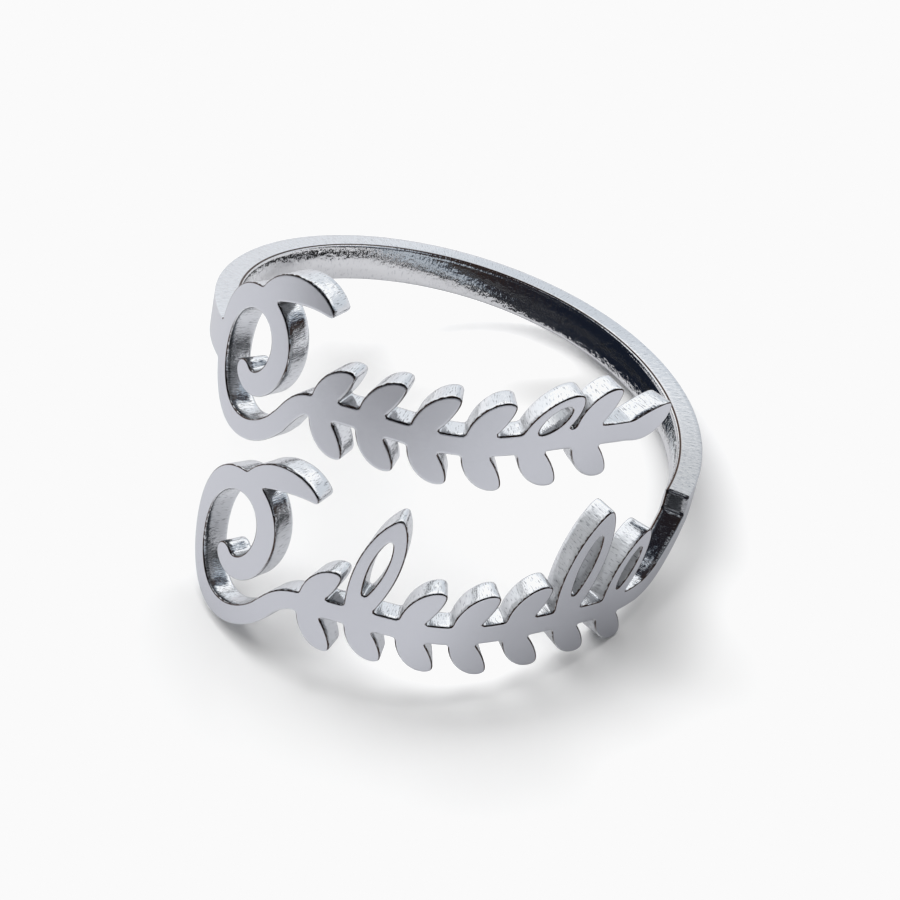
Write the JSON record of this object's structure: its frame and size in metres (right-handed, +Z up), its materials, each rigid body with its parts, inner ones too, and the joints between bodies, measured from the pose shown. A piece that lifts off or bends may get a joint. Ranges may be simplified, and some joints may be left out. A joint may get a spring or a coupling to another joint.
{
  "type": "name ring",
  "caption": "Open wrap ring in polished metal: a plain band climbs round the finger between two cut-out leafy rows with curled ends.",
  "frame": {"origin": "on the table under the middle of the lying ring's outline", "axes": "+Z up from the table, -Y towards the two ornamented rows and the viewer, +X to the viewer's right"},
  "size_m": [0.0196, 0.0216, 0.0155],
  "materials": {
    "polished_silver": "satin outer faces, finely striated cut walls and a mirror-polished inside, with softened edges"
  },
  "bodies": {
    "root": {"ring": "polished_silver"}
  },
  "joints": []
}
